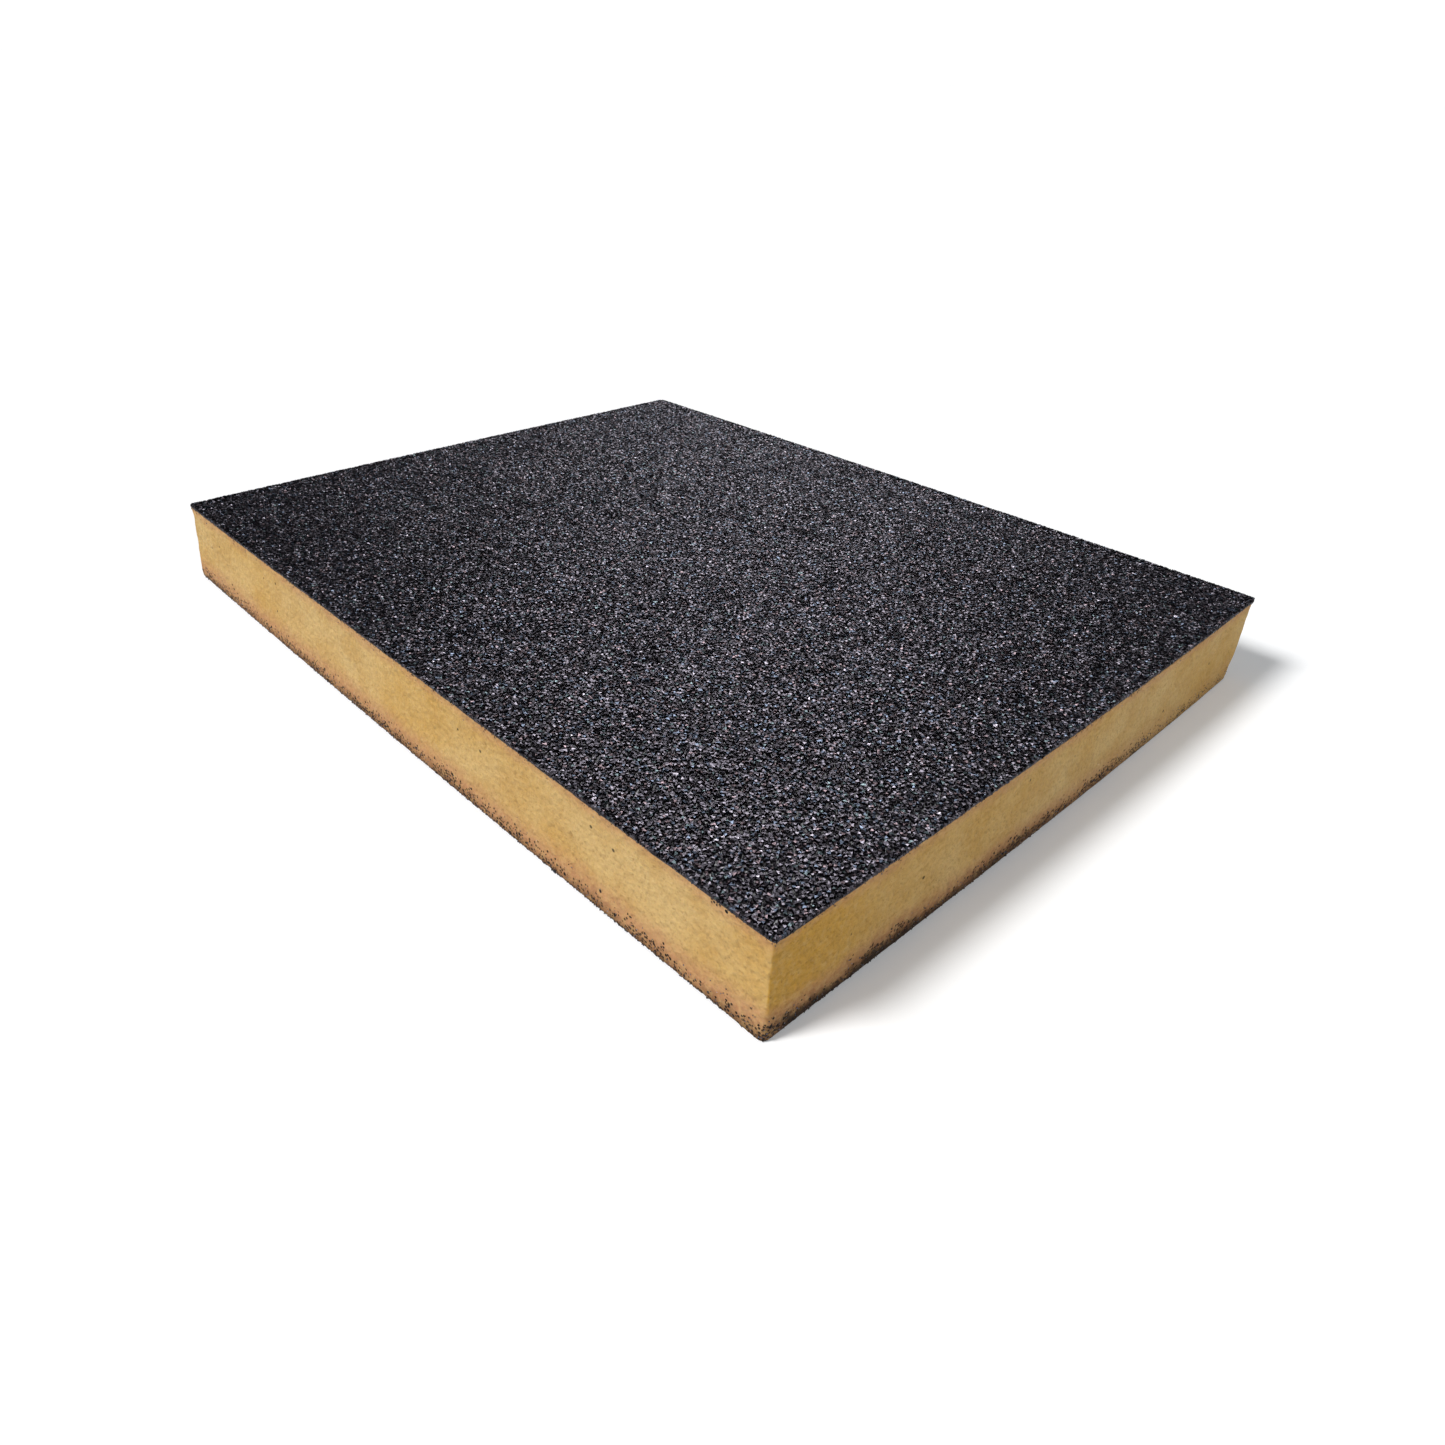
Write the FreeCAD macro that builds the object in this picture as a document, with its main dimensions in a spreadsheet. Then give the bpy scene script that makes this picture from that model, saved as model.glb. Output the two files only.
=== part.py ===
"""Flexible double-sided sanding block: a foam slab with an abrasive coat bonded to each broad face.

Frame: +X along the length, +Y across the width, +Z up, origin at the centre of the lower face.
All sizes are in millimetres.

The block is one soft foam core. Each broad face carries three cured layers, from the foam outwards:
the make coat that glues the grit down, the layer of grit, and the size coat that locks the grit in.
Every layer is a body of its own, and they meet face to face.
"""

import FreeCAD
import Part
import Sketcher

import os

# Driving dimensions: alias, value, what it is.
DIMENSIONS = [
    ("overall_length", 120.0, "length along X, over the coats"),
    ("overall_width", 98.0, "width along Y, over the coats"),
    ("overall_thickness", 12.0, "thickness along Z, grit to grit"),
    ("make_coat_thickness", 0.08, "resin that glues the grit to the foam"),
    ("grit_layer_thickness", 0.24, "layer of abrasive grains"),
    ("size_coat_thickness", 0.08, "resin that locks the grains in"),
    ("upper_corner_radius", 0.8, "plan radius of the upper coats' corners"),
    ("lower_corner_radius", 1.4, "plan radius of the lower coats' corners"),
    ("foam_corner_radius", 1.2, "plan radius of the foam's upright edges"),
    ("flank_inset", 0.10, "foam wall behind the outline, low on the side"),
    ("waist_inset", 0.25, "foam wall behind the outline, at mid height"),
    ("shoulder_inset", 0.30, "foam wall behind the outline, under the upper coats"),
    ("crown_inset", 0.10, "foam wall behind the outline, at the upper make coat"),
    ("flank_share", 0.2, "height of the flank as a share of the foam"),
    ("waist_share", 0.5, "height of the waist as a share of the foam"),
    ("shoulder_share", 0.88, "height of the shoulder as a share of the foam"),
]

SHEET = "Dimensions"
COAT_THICKNESS = (
    f"({SHEET}.make_coat_thickness + {SHEET}.grit_layer_thickness + {SHEET}.size_coat_thickness)"
)
FOAM_THICKNESS = f"({SHEET}.overall_thickness - 2 * {COAT_THICKNESS})"


def add_sheet(doc):
    """Write the driving dimensions into the document's spreadsheet, one aliased cell each."""
    sheet = doc.addObject("Spreadsheet::Sheet", SHEET)
    for row, (alias, value, meaning) in enumerate(DIMENSIONS, start=1):
        sheet.set(f"A{row}", meaning)
        sheet.set(f"B{row}", str(value))
        sheet.setAlias(f"B{row}", alias)
    doc.recompute()
    return sheet


def origin_plane(body, role):
    """Return one of the body's own origin planes, found by its role."""
    return next(plane for plane in body.Origin.OriginFeatures if plane.Role == role)


def rounded_rectangle(body, name, length, width, radius, height="0"):
    """Add a sketch of a rectangle with round corners, centred on the body's Z axis.

    length, width, radius and height are expressions; height lifts the sketch above the body's XY plane.
    """
    sketch = body.newObject("Sketcher::SketchObject", name)
    sketch.AttachmentSupport = [(origin_plane(body, "XY_Plane"), "")]
    sketch.MapMode = "FlatFace"
    sketch.setExpression("AttachmentOffset.Base.z", height)

    # Start near the final shape, so that the solver keeps the corners on the outside.
    half_x, half_y, corner = 60.0, 49.0, 1.0
    centres = [
        FreeCAD.Vector(half_x - corner, corner - half_y, 0),
        FreeCAD.Vector(half_x - corner, half_y - corner, 0),
        FreeCAD.Vector(corner - half_x, half_y - corner, 0),
        FreeCAD.Vector(corner - half_x, corner - half_y, 0),
    ]
    outward = [
        FreeCAD.Vector(0, -corner, 0),
        FreeCAD.Vector(corner, 0, 0),
        FreeCAD.Vector(0, corner, 0),
        FreeCAD.Vector(-corner, 0, 0),
    ]
    sides = []
    for index in range(4):
        start = centres[index - 1] + outward[index]
        end = centres[index] + outward[index]
        sides.append(sketch.addGeometry(Part.LineSegment(start, end), False))
    arcs = []
    quarter = FreeCAD.Units.Quantity("90 deg").getValueAs("rad").Value
    for index, centre in enumerate(centres):
        circle = Part.Circle(centre, FreeCAD.Vector(0, 0, 1), corner)
        arc = Part.ArcOfCircle(circle, (index - 1) * quarter, index * quarter)
        arcs.append(sketch.addGeometry(arc, False))

    start_point, end_point, centre_point = 1, 2, 3
    for index in range(4):
        after = (index + 1) % 4
        sketch.addConstraint(
            Sketcher.Constraint("Tangent", sides[index], end_point, arcs[index], start_point)
        )
        sketch.addConstraint(
            Sketcher.Constraint("Tangent", arcs[index], end_point, sides[after], start_point)
        )
    for side in (sides[0], sides[2]):
        sketch.addConstraint(Sketcher.Constraint("Horizontal", side))
    for side in (sides[1], sides[3]):
        sketch.addConstraint(Sketcher.Constraint("Vertical", side))
    for arc in arcs[1:]:
        sketch.addConstraint(Sketcher.Constraint("Equal", arcs[0], arc))
    sketch.addConstraint(
        Sketcher.Constraint("Symmetric", arcs[0], centre_point, arcs[2], centre_point, -1, 1)
    )

    driven = [
        ("radius", Sketcher.Constraint("Radius", arcs[0], corner), radius),
        (
            "length",
            Sketcher.Constraint("DistanceX", sides[3], start_point, sides[1], start_point, 2 * half_x),
            length,
        ),
        (
            "width",
            Sketcher.Constraint("DistanceY", sides[0], start_point, sides[2], start_point, 2 * half_y),
            width,
        ),
    ]
    for label, constraint, expression in driven:
        number = sketch.addConstraint(constraint)
        sketch.renameConstraint(number, label)
        sketch.setExpression(f"Constraints.{label}", expression)
    return sketch


def add_coat(doc, name, thickness, radius, level):
    """Add one cured layer: the block's outline padded upwards by its thickness.

    thickness and radius are aliases of the sheet; level is the expression of the layer's lower face.
    """
    body = doc.addObject("PartDesign::Body", name)
    body.Label = name
    body.setExpression("Placement.Base.z", level)
    outline = rounded_rectangle(
        body,
        f"{name}_outline",
        f"{SHEET}.overall_length",
        f"{SHEET}.overall_width",
        f"{SHEET}.{radius}",
    )
    pad = body.newObject("PartDesign::Pad", f"{name}_pad")
    pad.Profile = outline
    pad.setExpression("Length", f"{SHEET}.{thickness}")
    return body


def add_foam_core(doc):
    """Add the foam: a loft up through five outlines, hollowed to a waist as a cut foam slab springs back."""
    body = doc.addObject("PartDesign::Body", "foam_core")
    body.Label = "foam_core"
    body.setExpression("Placement.Base.z", COAT_THICKNESS)
    stations = [
        ("foot", "0", "0"),
        ("flank", f"{SHEET}.flank_inset", f"{SHEET}.flank_share"),
        ("waist", f"{SHEET}.waist_inset", f"{SHEET}.waist_share"),
        ("shoulder", f"{SHEET}.shoulder_inset", f"{SHEET}.shoulder_share"),
        ("crown", f"{SHEET}.crown_inset", "1"),
    ]
    outlines = []
    for station, inset, share in stations:
        outlines.append(
            rounded_rectangle(
                body,
                f"foam_{station}",
                f"{SHEET}.overall_length - 2 * {inset}",
                f"{SHEET}.overall_width - 2 * {inset}",
                f"{SHEET}.foam_corner_radius",
                f"{share} * {FOAM_THICKNESS}",
            )
        )
    doc.recompute()
    loft = body.newObject("PartDesign::AdditiveLoft", "foam_loft")
    loft.Profile = outlines[0]
    loft.Sections = outlines[1:]
    loft.Ruled = False
    return body


def build(doc):
    """Add every layer from the lower face up, and return the bodies."""
    above_size = f"{SHEET}.size_coat_thickness"
    above_grit = f"({SHEET}.size_coat_thickness + {SHEET}.grit_layer_thickness)"
    top = f"{SHEET}.overall_thickness"
    lower = "lower_corner_radius"
    upper = "upper_corner_radius"
    return [
        add_coat(doc, "lower_size_coat", "size_coat_thickness", lower, "0"),
        add_coat(doc, "lower_grit_layer", "grit_layer_thickness", lower, above_size),
        add_coat(doc, "lower_make_coat", "make_coat_thickness", lower, above_grit),
        add_foam_core(doc),
        add_coat(doc, "upper_make_coat", "make_coat_thickness", upper, f"{top} - {COAT_THICKNESS}"),
        add_coat(doc, "upper_grit_layer", "grit_layer_thickness", upper, f"{top} - {above_grit}"),
        add_coat(doc, "upper_size_coat", "size_coat_thickness", upper, f"{top} - {above_size}"),
    ]


def check(doc, bodies):
    """Stop if anything in the document failed, or if a layer isn't one sound closed solid."""
    for item in doc.Objects:
        if "Invalid" in item.State or "Error" in item.State:
            raise RuntimeError(f"{item.Name} failed: {item.State}")
    for body in bodies:
        if body.Shape.isNull() or not body.Shape.isValid():
            raise RuntimeError(f"{body.Label} has no valid shape")
        if len(body.Shape.Solids) != 1:
            raise RuntimeError(f"{body.Label} isn't one solid")


def export(bodies):
    """Write each layer to its own STEP file, and print its size and volume."""
    os.makedirs("parts", exist_ok=True)
    for body in bodies:
        body.Shape.exportStep(os.path.join("parts", f"{body.Label}.step"))
        box = body.Shape.BoundBox
        print(
            f"{body.Label}: {box.XLength:.2f} x {box.YLength:.2f} x {box.ZLength:.2f} mm,"
            f" z {box.ZMin:.2f} to {box.ZMax:.2f}, {body.Shape.Volume / 1000:.2f} cm3"
        )


doc = FreeCAD.newDocument("sanding_block")
add_sheet(doc)
layers = build(doc)
doc.recompute()
check(doc, layers)
export(layers)
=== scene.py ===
"""Flexible double-sided sanding block: a soft foam slab with coarse black grit on both broad faces.

Units are metres and the frame is the CAD model's: +X along the block, +Y across it, +Z up, with the
origin at the centre of the lower face. Sizes that a maker would give in millimetres are multiplied by MM.
"""

import logging
import math
from dataclasses import dataclass, field
from enum import Enum

import bpy
import numpy as np
from mathutils import Matrix, Vector


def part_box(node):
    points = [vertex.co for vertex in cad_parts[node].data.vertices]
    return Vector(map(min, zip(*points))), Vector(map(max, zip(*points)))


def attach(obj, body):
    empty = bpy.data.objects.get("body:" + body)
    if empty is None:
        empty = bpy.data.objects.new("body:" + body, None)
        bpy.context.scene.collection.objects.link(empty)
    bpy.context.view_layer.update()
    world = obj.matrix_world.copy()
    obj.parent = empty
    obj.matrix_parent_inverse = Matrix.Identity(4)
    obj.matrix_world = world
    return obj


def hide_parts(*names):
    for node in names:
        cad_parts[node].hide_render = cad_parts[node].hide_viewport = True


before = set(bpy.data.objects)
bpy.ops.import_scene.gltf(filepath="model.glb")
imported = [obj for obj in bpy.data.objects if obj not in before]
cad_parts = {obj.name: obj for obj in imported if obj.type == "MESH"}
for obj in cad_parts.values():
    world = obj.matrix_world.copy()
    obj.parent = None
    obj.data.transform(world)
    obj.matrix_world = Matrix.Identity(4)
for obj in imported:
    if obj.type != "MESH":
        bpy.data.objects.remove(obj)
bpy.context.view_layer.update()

MM = 0.001
LOG = logging.getLogger("sanding_block")
Array = np.ndarray
Colour = tuple[float, float, float]


# ---------------------------------------------------------------------------------------------------
# Shader maths


class Value:
    """A node socket that turns Python's arithmetic into Math nodes of its own tree."""

    def __init__(self, tree: "ShaderTree", socket: bpy.types.NodeSocket) -> None:
        """Wrap a socket.

        Args:
            tree: the tree that the socket's node is in.
            socket: an output socket that carries one number, a vector or a colour.
        """
        self.tree = tree
        self.socket = socket

    def __add__(self, other: "Operand") -> "Value":
        """Self plus other."""
        return self.tree.math("ADD", self, other)

    def __radd__(self, other: "Operand") -> "Value":
        """Other plus self."""
        return self.tree.math("ADD", other, self)

    def __sub__(self, other: "Operand") -> "Value":
        """Self minus other."""
        return self.tree.math("SUBTRACT", self, other)

    def __rsub__(self, other: "Operand") -> "Value":
        """Other minus self."""
        return self.tree.math("SUBTRACT", other, self)

    def __mul__(self, other: "Operand") -> "Value":
        """Self times other."""
        return self.tree.math("MULTIPLY", self, other)

    def __rmul__(self, other: "Operand") -> "Value":
        """Other times self."""
        return self.tree.math("MULTIPLY", other, self)

    def below(self, other: "Operand") -> "Value":
        """1 where self is less than other, and 0 elsewhere."""
        return self.tree.math("LESS_THAN", self, other)

    def rise(self, start: float, end: float) -> "Value":
        """Ease from 0 to 1 while self goes from start to end.

        Args:
            start: the value at which the result leaves 0.
            end: the value at which it reaches 1; below start, the result falls instead.

        Returns:
            The eased value, held at 0 and 1 outside.
        """
        node = self.tree.add(
            "ShaderNodeMapRange",
            {"interpolation_type": "SMOOTHSTEP"},
            {"Value": self, "From Min": start, "From Max": end},
        )
        return Value(self.tree, node.outputs["Result"])


Operand = Value | float | tuple[float, ...]


class ShaderTree:
    """A material's or a world's node tree, built by adding nodes and linking as it goes."""

    def __init__(self, owner: bpy.types.Material | bpy.types.World) -> None:
        """Empty the owner's tree and start on it.

        Args:
            owner: the material or world whose nodes are made.
        """
        owner.use_nodes = True
        self.nodes = owner.node_tree.nodes
        self.links = owner.node_tree.links
        self.nodes.clear()

    def add(
        self,
        kind: str,
        settings: dict[str, object] | None = None,
        sockets: dict[str | int, Operand] | None = None,
    ) -> bpy.types.Node:
        """Add one node.

        Args:
            kind: the node's type.
            settings: its properties, set first.
            sockets: its inputs by name or number, each a constant or a Value to link.

        Returns:
            The new node.
        """
        node = self.nodes.new(kind)
        for name, setting in (settings or {}).items():
            setattr(node, name, setting)
        for name, operand in (sockets or {}).items():
            if isinstance(operand, Value):
                self.links.new(operand.socket, node.inputs[name])
            else:
                node.inputs[name].default_value = operand
        return node

    def math(self, operation: str, first: Operand, second: Operand) -> Value:
        """Join two numbers by one Math node, and return its result."""
        node = self.add("ShaderNodeMath", {"operation": operation}, {0: first, 1: second})
        return Value(self, node.outputs[0])

    def mix(self, share: Operand, first: Operand | Colour, second: Operand | Colour) -> Value:
        """Mix two colours.

        Args:
            share: 0 gives the first colour and 1 the second.
            first: a colour or a Value.
            second: a colour or a Value.

        Returns:
            The mixed colour.
        """
        sides = {}
        for number, side in ((6, first), (7, second)):
            sides[number] = side if isinstance(side, Value) else (*side, 1.0)
        node = self.add("ShaderNodeMix", {"data_type": "RGBA"}, {0: share, **sides})
        return Value(self, node.outputs[2])

    def places(self) -> Value:
        """Object coordinates, in metres from the object's origin."""
        return Value(self, self.add("ShaderNodeTexCoord").outputs["Object"])

    def part(self, whole: Value, name: str) -> Value:
        """One part of a vector or a colour.

        Args:
            whole: the vector or colour.
            name: X, Y or Z of a vector, or Red, Green or Blue of a colour.

        Returns:
            That number.
        """
        if name in ("X", "Y", "Z"):
            node = self.add("ShaderNodeSeparateXYZ", None, {"Vector": whole})
        else:
            node = self.add("ShaderNodeSeparateColor", None, {"Color": whole})
        return Value(self, node.outputs[name])

    def facing(self, vector: Value, towards: Vector) -> Value:
        """The cosine between a unit vector and a fixed direction."""
        node = self.add(
            "ShaderNodeVectorMath", {"operation": "DOT_PRODUCT"}, {0: vector, 1: tuple(towards.normalized())}
        )
        return Value(self, node.outputs["Value"])

    def attribute(self, name: str, output: str = "Fac") -> Value:
        """A named attribute of the mesh, as a number or, with output Color, as a colour."""
        node = self.add("ShaderNodeAttribute", {"attribute_name": name})
        return Value(self, node.outputs[output])

    def noise(self, size: float, detail: float = 2.0, roughness: float = 0.5) -> Value:
        """Cloudy noise around 0.5.

        Args:
            size: how large its largest patches are, in metres.
            detail: how many finer layers lie over them.
            roughness: how strong each layer is beside the one before it.

        Returns:
            The noise.
        """
        node = self.add(
            "ShaderNodeTexNoise",
            None,
            {"Vector": self.places(), "Scale": 1.0 / size, "Detail": detail, "Roughness": roughness},
        )
        return Value(self, node.outputs["Fac"])

    def cells(self, size: float, feature: str = "F1") -> bpy.types.Node:
        """A Voronoi node whose cells measure size, in metres."""
        return self.add(
            "ShaderNodeTexVoronoi", {"feature": feature}, {"Vector": self.places(), "Scale": 1.0 / size}
        )

    def bump(self, height: Value, depth: float, strength: float = 1.0) -> Value:
        """A normal bent by a height of 0 to 1 that stands for depth, in metres."""
        node = self.add(
            "ShaderNodeBump", None, {"Height": height, "Distance": depth, "Strength": strength}
        )
        return Value(self, node.outputs["Normal"])

    def surface(self, sockets: dict[str, Operand]) -> None:
        """Finish a material with one Principled shader that has these inputs."""
        shader = self.add("ShaderNodeBsdfPrincipled", None, sockets)
        output = self.add("ShaderNodeOutputMaterial")
        self.links.new(shader.outputs["BSDF"], output.inputs["Surface"])


# ---------------------------------------------------------------------------------------------------
# Finishes


@dataclass(frozen=True)
class FoamFinish:
    """Cut polyurethane foam: fine open pores, brown where resin soaked in, black specks by the coats, and
    painted shade in its pores and hollows with a painted highlight on its bumps.

    Attributes:
        low: the height of the lower coat's inner face.
        high: the height of the upper coat's inner face.
        side: how far the block reaches along Y; the +X end is amber where it meets -side.
        body: the clean foam's colour.
        pale: the colour of its lighter patches, and of the painted highlight on its raised bumps.
        amber: the colour of its warmer patches.
        tan: its colour where a little resin has soaked in.
        brown: its colour where much has.
        pore_shade: the painted shade down in its pores, pits and hollows.
        soot: the colour of the dust and resin specks beside the coats.
        dot_size: how far apart the small black specks can be.
        blot_size: the same for the larger ones.
        lone_size: the same for those far from the coats.
        pore_size: how far apart the fine pores are.
        bead_size: how far apart the soft swellings between the pores are.
        relief_depth: how high its bumps and pores stand.
        roughness: its roughness.
    """

    low: float
    high: float
    side: float
    body: Colour = (0.453, 0.285, 0.102)
    pale: Colour = (0.506, 0.344, 0.143)
    amber: Colour = (0.450, 0.248, 0.045)
    tan: Colour = (0.408, 0.204, 0.102)
    brown: Colour = (0.165, 0.078, 0.034)
    pore_shade: Colour = (0.190, 0.105, 0.038)
    soot: Colour = (0.012, 0.009, 0.008)
    dot_size: float = 0.31 * MM
    blot_size: float = 0.55 * MM
    lone_size: float = 3.0 * MM
    pore_shade_size: float = 0.42 * MM
    bead_size: float = 0.66 * MM
    relief_depth: float = 0.36 * MM
    roughness: float = 0.92

    def ground(self, tree: ShaderTree, above: Value, under: Value) -> Value:
        """The foam's own colour.

        Pale, plain and amber patches blend by slow noise, with more amber at one upright edge. The resin
        turns it tan over the lowest few millimetres and faintly under the upper coat, and brown lowest.

        Args:
            tree: the material's tree.
            above: the height above the lower coat, made to wander by noise.
            under: the distance below the upper coat, made to wander too.

        Returns:
            The colour before the painted shade of its pores and hollows and the painted highlight on its
            bumps.
        """
        clean = tree.mix(tree.noise(5 * MM, 3.0).rise(0.35, 0.65), self.body, self.pale)
        end, along = tree.attribute("end"), tree.part(tree.places(), "Y")
        at_side = along.rise(18 * MM - self.side, 4 * MM - self.side)
        warmth = tree.noise(26 * MM, 2.0).rise(0.42, 0.62) * 0.4 + end * at_side * 0.8
        warm = tree.mix(warmth, clean, self.amber)
        spared = end * along.rise(-0.2 * self.side, 0.7 * self.side)
        soak = above.rise(4.4 * MM, 1.0 * MM) * (0.9 - spared * 0.7)
        soak = soak + under.rise(2.0 * MM, 0.1 * MM) * 0.65
        charred = end * along.rise(0.35 * self.side, -0.4 * self.side)
        burnt = above.rise(1.8 * MM, -0.1 * MM) * (0.8 - spared * 0.7)
        burnt = burnt + charred * above.rise(3.3 * MM, 0.7 * MM) * 0.6
        return tree.mix(burnt, tree.mix(soak, warm, self.tan), self.brown)

    def specks(self, tree: ShaderTree, above: Value, under: Value) -> Value:
        """How much black lies on the foam, from 0 to 1.

        Round specks of two sizes, one in some of the pattern's cells: more and more cells towards the
        coats, and a few anywhere. Along the lowest edge they run together, and at the +X end into a
        smear that thins out towards +Y.

        Args:
            tree: the material's tree.
            above: the height above the lower coat.
            under: the distance below the upper coat.

        Returns:
            The share of black.
        """
        end = tree.attribute("end")
        along = tree.part(tree.places(), "Y")
        smeared = end * along.rise(0.15 * self.side, -0.6 * self.side)
        smeared = smeared * along.rise(-self.side, 3.5 * MM - self.side)
        clean = end * along.rise(0.35 * self.side, 0.85 * self.side)
        near_low = above.rise(3.0 * MM, 0.2 * MM)
        patchy = tree.noise(6 * MM, 2.0).rise(0.38, 0.6) * 0.75 + 0.35
        spread = near_low * near_low * patchy * (1.15 + end * 0.35 - smeared * 0.4 - clean * 1.3)
        spread = spread + under.rise(0.45 * MM, 0.0) * 0.3
        dots = tree.cells(self.dot_size)
        chance = tree.part(Value(tree, dots.outputs["Color"]), "Red")
        weight = tree.part(Value(tree, dots.outputs["Color"]), "Green") * 0.25 + 0.75
        dot = chance.below(spread) * Value(tree, dots.outputs["Distance"]).rise(0.54, 0.40) * weight
        blots = tree.cells(self.blot_size)
        blot_chance = tree.part(Value(tree, blots.outputs["Color"]), "Red")
        blot = blot_chance.below(spread * 0.3) * Value(tree, blots.outputs["Distance"]).rise(0.42, 0.30)
        rare = tree.cells(self.lone_size)
        rare_chance = tree.part(Value(tree, rare.outputs["Color"]), "Red")
        lone = rare_chance.below(0.6) * Value(tree, rare.outputs["Distance"]).rise(0.085, 0.05) * 0.8
        edge = above.rise(0.4 * MM, -0.2 * MM) * (0.25 - end * 0.21)
        edge = tree.math("MAXIMUM", edge, above.rise(1.5 * MM, 0.1 * MM) * smeared * 0.85)
        return tree.math("MAXIMUM", tree.math("MAXIMUM", dot, lone), tree.math("MAXIMUM", edge, blot))

    def build(self) -> bpy.types.Material:
        """Make the material.

        Returns:
            A material that reads the piece's pit and end attributes and Object coordinates.
        """
        material = bpy.data.materials.new("cut_foam")
        tree = ShaderTree(material)
        height = tree.part(tree.places(), "Z")
        wander = (tree.noise(1.3 * MM, 4.0, 0.75) - 0.5) * (2.4 * MM)
        wander = wander + (tree.noise(8 * MM) - 0.5) * (1.8 * MM)
        above = height - self.low + wander
        under = self.high - height + wander

        pores = Value(tree, tree.cells(self.pore_shade_size).outputs["Distance"])
        beads = Value(tree, tree.cells(self.bead_size, "SMOOTH_F1").outputs["Distance"])
        fine = tree.noise(0.42 * MM, 4.0, 0.7)
        mottle = tree.noise(0.85 * MM, 3.0, 0.65)
        # Painted shade: the colour darkens towards the pore shade in the middle of each pore cell and down in
        # the mesh's pits.
        depth = (1.0 - pores.rise(0.05, 0.50)) * 0.24 + tree.attribute("pit") * 0.5
        pit_shaded = tree.mix(depth, self.ground(tree, above, under), self.pore_shade)
        # Painted shade: darker in the hollows between the beads and where the fine noise is low, the same
        # places that the bump sinks.
        hollow_shade = beads.rise(0.30, 0.62) * 0.06 + fine.rise(0.58, 0.38) * 0.15
        hollow_shaded = tree.mix(hollow_shade, pit_shaded, self.pore_shade)
        # Painted highlight: paler where the mottle noise raises the bump.
        bump_highlighted = tree.mix(mottle.rise(0.45, 0.70) * 0.35, hollow_shaded, self.pale)
        relief = pores.rise(0.0, 0.5) * 0.15 + fine * 0.45 + mottle * 0.5 - beads * 0.9
        tree.surface(
            {
                "Base Color": tree.mix(self.specks(tree, above, under), bump_highlighted, self.soot),
                "Roughness": self.roughness,
                "Specular IOR Level": 0.2,
                "Subsurface Weight": 0.15,
                "Subsurface Radius": (1.0, 0.55, 0.2),
                "Subsurface Scale": 0.4 * MM,
                "Normal": tree.bump(relief, self.relief_depth, 1.0),
            }
        )
        return material


@dataclass(frozen=True)
class ResinFinish:
    """A cured resin film, black-brown, mottled and a little glossy where it pooled.

    Attributes:
        name: the material's name.
        dark: the colour of thick resin.
        thin: the colour where the film is thin.
        matt: the roughness of its dull patches.
        gloss: the roughness where it pooled.
    """

    name: str
    dark: Colour
    thin: Colour
    matt: float
    gloss: float

    def build(self) -> bpy.types.Material:
        """Make the material, and return it."""
        material = bpy.data.materials.new(self.name)
        tree = ShaderTree(material)
        pooled = tree.noise(2.4 * MM, 4.0, 0.6).rise(0.35, 0.65)
        grain = Value(tree, tree.cells(0.4 * MM).outputs["Distance"])
        tree.surface(
            {
                "Base Color": tree.mix(pooled, self.thin, self.dark),
                "Roughness": self.matt + pooled * (self.gloss - self.matt),
                "IOR": 1.6,
                "Normal": tree.bump(grain.rise(0.0, 0.6), 0.12 * MM, 0.9),
            }
        )
        return material


@dataclass(frozen=True)
class GritFinish:
    """Black silicon carbide: glassy dark facets, each grain with a faint tint of its own.

    Attributes:
        metallic: how much of the shine takes the grain's own tint.
        smooth: the roughness of a clean facet.
        frosted: the roughness of a facet with resin on it.
        dust: the colour of the resin and dust on frosted facets.
    """

    metallic: float = 1.0
    smooth: float = 0.31
    frosted: float = 0.52
    dust: Colour = (0.02, 0.018, 0.02)

    def build(self) -> bpy.types.Material:
        """Make the material, which reads each grain's tint attribute, and return it."""
        material = bpy.data.materials.new("silicon_carbide_grit")
        tree = ShaderTree(material)
        frost = tree.noise(0.35 * MM, 2.0).rise(0.4, 0.62)
        fracture = tree.noise(0.09 * MM, 2.0)
        tree.surface(
            {
                "Base Color": tree.mix(frost * 0.35, tree.attribute("tint", "Color"), self.dust),
                "Metallic": self.metallic,
                "Roughness": self.smooth + frost * (self.frosted - self.smooth),
                "IOR": 2.0,
                "Normal": tree.bump(fracture, 0.01 * MM, 0.5),
            }
        )
        return material


@dataclass(frozen=True)
class FloorFinish:
    """A white studio floor like clean paper.

    Attributes:
        colour: its colour.
        dull: the colour of its duller fibres.
        glow: how much light it gives off, so that it stays white under the camera.
    """

    colour: Colour = (0.87, 0.87, 0.87)
    dull: Colour = (0.85, 0.85, 0.85)
    glow: float = 0.155

    def build(self) -> bpy.types.Material:
        """Make the material, and return it."""
        material = bpy.data.materials.new("studio_paper")
        tree = ShaderTree(material)
        fibre = tree.noise(3 * MM, 3.0)
        tree.surface(
            {
                "Base Color": tree.mix(fibre, self.colour, self.dull),
                "Roughness": 0.95,
                "Specular IOR Level": 0.1,
                "Emission Color": (1.0, 1.0, 1.0, 1.0),
                "Emission Strength": self.glow,
            }
        )
        return material


# ---------------------------------------------------------------------------------------------------
# Shapes as arrays


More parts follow.
